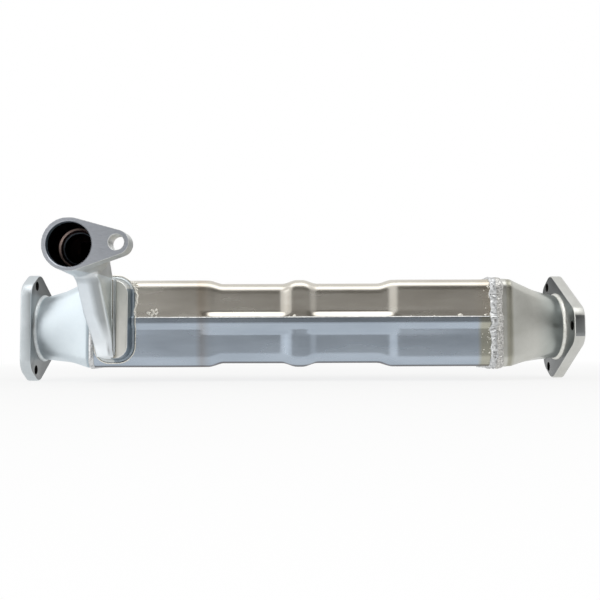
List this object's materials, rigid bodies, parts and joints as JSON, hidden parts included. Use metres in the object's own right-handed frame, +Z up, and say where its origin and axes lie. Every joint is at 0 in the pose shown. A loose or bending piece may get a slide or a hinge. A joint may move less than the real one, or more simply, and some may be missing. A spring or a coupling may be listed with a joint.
{
  "type": "egr cooler",
  "caption": "Exhaust gas recirculation cooler with a rectangular pressed shell, round-to-square end cones, three-bolt gas flanges and a cast coolant port.",
  "frame": {"origin": "centre of the gas bore at the inlet flange's face", "axes": "+X along the gas axis towards the outlet flange, -Y towards the coolant inlet's face, +Z up"},
  "size_m": [0.568, 0.2353, 0.1535],
  "materials": {
    "cast_steel": "bead-blasted cast stainless steel, satin",
    "pressed_steel": "bead-blasted formed sheet, satin",
    "shell_steel": "pressed stainless sheet, smooth satin",
    "weld_metal": "rough weld metal with spatter",
    "tube_steel": "brazed stainless sheet, slightly browned",
    "fin_steel": "thin bright stainless foil"
  },
  "bodies": {
    "root": {"inlet_gas_flange": "cast_steel", "outlet_gas_flange": "cast_steel", "inlet_cone": "pressed_steel", "outlet_cone": "pressed_steel", "upper_shell": "shell_steel", "lower_shell": "shell_steel", "inlet_weld_bead": "weld_metal", "outlet_weld_bead": "weld_metal", "coolant_inlet_casting": "cast_steel", "coolant_outlet_spigot": "cast_steel", "inlet_tube_plate": "tube_steel", "outlet_tube_plate": "tube_steel", "tube_support_1": "tube_steel", "tube_support_2": "tube_steel", "tube_support_3": "tube_steel", "gas_tube_1": "tube_steel", "gas_tube_2": "tube_steel", "gas_tube_3": "tube_steel", "gas_tube_4": "tube_steel", "gas_tube_5": "tube_steel", "gas_tube_6": "tube_steel", "gas_tube_7": "tube_steel", "gas_tube_8": "tube_steel", "tube_fin_1": "fin_steel", "tube_fin_2": "fin_steel", "tube_fin_3": "fin_steel", "tube_fin_4": "fin_steel", "tube_fin_5": "fin_steel", "tube_fin_6": "fin_steel", "tube_fin_7": "fin_steel", "tube_fin_8": "fin_steel"}
  },
  "joints": []
}
